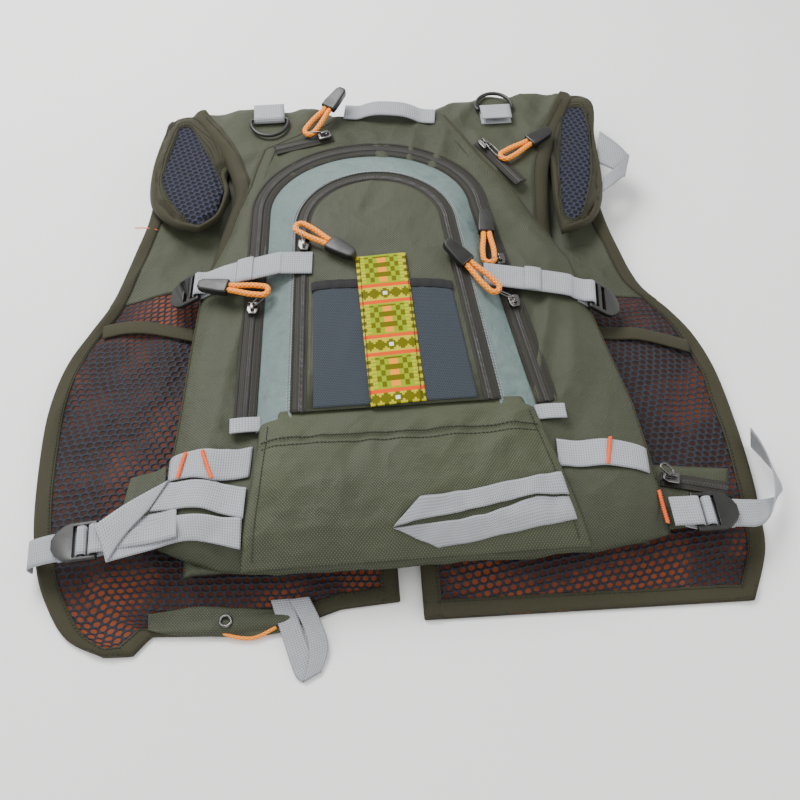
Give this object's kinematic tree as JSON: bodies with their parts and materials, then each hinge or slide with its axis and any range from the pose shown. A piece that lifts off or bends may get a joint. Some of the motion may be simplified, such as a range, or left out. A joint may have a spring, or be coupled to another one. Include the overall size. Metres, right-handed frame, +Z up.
{
  "type": "fishing vest with back pack",
  "caption": "Fishing vest with an integral zipped back pack, mesh-lined fronts, webbing straps, ladder locks, D-rings and cord zip pulls, lying front down.",
  "frame": {"origin": "middle of the vest's outline on the surface it lies on", "axes": "+X to the right seen from behind the pack, +Y towards the collar, +Z up from the surface, through the pack"},
  "size_m": [0.6618, 0.646, 0.0973],
  "materials": {
    "green_fabric": "matt ripstop weave",
    "sage_fabric": "satin weave",
    "lined_net": "net over orange lining",
    "spacer_mesh": "matt spacer mesh",
    "pocket_mesh": "fine matt mesh",
    "zip_tape": "matt tape and coil",
    "grey_webbing": "matt ribbed weave",
    "orange_cord": "braided, with pale flecks",
    "patterned_tape": "woven pattern",
    "black_plastic": "satin moulded",
    "plated_metal": "plated"
  },
  "bodies": {
    "root": {"front_panel_left": "lined_net", "front_panel_right": "lined_net", "front_pocket_left": "green_fabric", "front_pocket_right": "green_fabric", "back_panel": "green_fabric", "shoulder_pad_left": "spacer_mesh", "shoulder_pad_right": "spacer_mesh", "pack_body": "green_fabric", "outer_zip": "zip_tape", "front_compartment": "sage_fabric", "inner_zip": "zip_tape", "inner_panel": "green_fabric", "lower_panel": "green_fabric", "mesh_pocket": "pocket_mesh", "patterned_band": "patterned_tape", "shoulder_zip_left": "zip_tape", "shoulder_zip_right": "zip_tape", "side_pocket_zip": "zip_tape", "side_wing_right": "green_fabric", "d_ring_tab_left": "grey_webbing", "d_ring_tab_right": "grey_webbing", "grab_handle": "grey_webbing", "upper_strap_left": "grey_webbing", "upper_strap_right": "grey_webbing", "lower_strap_left": "grey_webbing", "lower_strap_right": "grey_webbing", "folded_strap_right": "grey_webbing", "hem_loop": "grey_webbing", "daisy_webbing_left": "grey_webbing", "daisy_webbing_right": "grey_webbing", "chest_buckle_socket": "black_plastic"},
    "outer_left_slider": {"outer_left_slider": "plated_metal"},
    "inner_left_slider": {"inner_left_slider": "plated_metal"},
    "outer_right_upper_slider": {"outer_right_upper_slider": "plated_metal"},
    "outer_right_lower_slider": {"outer_right_lower_slider": "plated_metal"},
    "shoulder_left_slider": {"shoulder_left_slider": "plated_metal"},
    "shoulder_right_slider": {"shoulder_right_slider": "plated_metal"},
    "side_pocket_slider": {"side_pocket_slider": "plated_metal"},
    "outer_left_pull": {"outer_left_pull_cord": "orange_cord", "outer_left_pull_cap": "black_plastic"},
    "inner_left_pull": {"inner_left_pull_cord": "orange_cord", "inner_left_pull_cap": "black_plastic"},
    "outer_right_upper_pull": {"outer_right_upper_pull_cord": "orange_cord", "outer_right_upper_pull_cap": "black_plastic"},
    "outer_right_lower_pull": {"outer_right_lower_pull_cord": "orange_cord", "outer_right_lower_pull_cap": "black_plastic"},
    "shoulder_left_pull": {"shoulder_left_pull_cord": "orange_cord", "shoulder_left_pull_cap": "black_plastic"},
    "shoulder_right_pull": {"shoulder_right_pull_cord": "orange_cord", "shoulder_right_pull_cap": "black_plastic"},
    "side_pocket_pull": {"side_pocket_pull": "plated_metal"},
    "d_ring_left": {"d_ring_left": "black_plastic"},
    "d_ring_right": {"d_ring_right": "black_plastic"},
    "upper_lock_left": {"upper_lock_left": "black_plastic"},
    "upper_lock_right": {"upper_lock_right": "black_plastic"},
    "lower_lock_left": {"lower_lock_left": "black_plastic", "side_strap_left": "grey_webbing"},
    "lower_lock_right": {"lower_lock_right": "black_plastic", "side_strap_right": "grey_webbing"},
    "chest_buckle_plug": {"chest_buckle_plug": "black_plastic"}
  },
  "joints": [
    {"name": "outer_left_slider_travel", "type": "slide", "parent": "root", "child": "outer_left_slider", "axis": [0.0599, 0.9982, 0], "range_m": [-0.105, 0]},
    {"name": "inner_left_slider_travel", "type": "slide", "parent": "root", "child": "inner_left_slider", "axis": [0.046, 0.9989, 0], "range_m": [0, 0.02]},
    {"name": "outer_right_upper_slider_travel", "type": "slide", "parent": "root", "child": "outer_right_upper_slider", "axis": [-0.1191, 0.9929, 0], "range_m": [0, 0.07]},
    {"name": "outer_right_lower_slider_travel", "type": "slide", "parent": "root", "child": "outer_right_lower_slider", "axis": [-0.1191, 0.9929, 0], "range_m": [-0.1, 0]},
    {"name": "shoulder_left_slider_travel", "type": "slide", "parent": "root", "child": "shoulder_left_slider", "axis": [-0.9683, -0.2499, 0], "range_m": [0, 0.04]},
    {"name": "shoulder_right_slider_travel", "type": "slide", "parent": "root", "child": "shoulder_right_slider", "axis": [0.4789, -0.8779, 0], "range_m": [0, 0.045]},
    {"name": "side_pocket_slider_travel", "type": "slide", "parent": "root", "child": "side_pocket_slider", "axis": [0.9648, -0.2631, 0], "range_m": [0, 0.028]},
    {"name": "outer_left_pull_hinge", "type": "hinge", "parent": "outer_left_slider", "child": "outer_left_pull", "pos_m": [-0.12007, 0.02849, 0.07677], "axis": [0.2756, 0.9613, 0], "range_deg": [0, 100]},
    {"name": "inner_left_pull_hinge", "type": "hinge", "parent": "inner_left_slider", "child": "inner_left_pull", "pos_m": [-0.09054, 0.09853, 0.0897], "axis": [-0.6428, -0.766, 0], "range_deg": [0, 100]},
    {"name": "outer_right_upper_pull_hinge", "type": "hinge", "parent": "outer_right_upper_slider", "child": "outer_right_upper_pull", "pos_m": [0.09238, 0.05351, 0.0702], "axis": [0.9986, -0.0523, 0], "range_deg": [0, 100]},
    {"name": "outer_right_lower_pull_hinge", "type": "hinge", "parent": "outer_right_lower_slider", "child": "outer_right_lower_pull", "pos_m": [0.09417, 0.01097, 0.07687], "axis": [0.7547, 0.6561, 0], "range_deg": [0, 100]},
    {"name": "shoulder_left_pull_hinge", "type": "hinge", "parent": "shoulder_left_slider", "child": "shoulder_left_pull", "pos_m": [-0.07766, 0.25675, 0.06665], "axis": [0.788, -0.6157, 0], "range_deg": [0, 100]},
    {"name": "shoulder_right_pull_hinge", "type": "hinge", "parent": "shoulder_right_slider", "child": "shoulder_right_pull", "pos_m": [0.12706, 0.212, 0.0587], "axis": [0.5446, -0.8387, 0], "range_deg": [0, 100]},
    {"name": "side_pocket_pull_hinge", "type": "hinge", "parent": "side_pocket_slider", "child": "side_pocket_pull", "pos_m": [0.22239, -0.1791, 0.044], "axis": [0.8192, 0.5736, 0], "range_deg": [0, 100]},
    {"name": "d_ring_left_hinge", "type": "hinge", "parent": "root", "child": "d_ring_left", "pos_m": [-0.11833, 0.295, 0.0571], "axis": [-1, 0, 0], "range_deg": [0, 150]},
    {"name": "d_ring_right_hinge", "type": "hinge", "parent": "root", "child": "d_ring_right", "pos_m": [0.13067, 0.293, 0.0571], "axis": [1, 0, 0], "range_deg": [0, 150]},
    {"name": "upper_lock_left_hinge", "type": "hinge", "parent": "root", "child": "upper_lock_left", "pos_m": [-0.18933, 0.0625, 0.0518], "axis": [0.0698, 0.9976, 0], "range_deg": [0, 40]},
    {"name": "upper_lock_right_hinge", "type": "hinge", "parent": "root", "child": "upper_lock_right", "pos_m": [0.18767, 0.022, 0.0518], "axis": [-0.1392, -0.9903, 0], "range_deg": [0, 40]},
    {"name": "lower_lock_left_hinge", "type": "hinge", "parent": "root", "child": "lower_lock_left", "pos_m": [-0.26933, -0.201, 0.0403], "axis": [-0.0349, 0.9994, 0], "range_deg": [0, 40]},
    {"name": "lower_lock_right_hinge", "type": "hinge", "parent": "root", "child": "lower_lock_right", "pos_m": [0.23467, -0.216, 0.0403], "axis": [0, -1, 0], "range_deg": [0, 40]},
    {"name": "chest_buckle_plug_travel", "type": "slide", "parent": "root", "child": "chest_buckle_plug", "axis": [1, 0, 0], "range_m": [0, 0.028]}
  ]
}
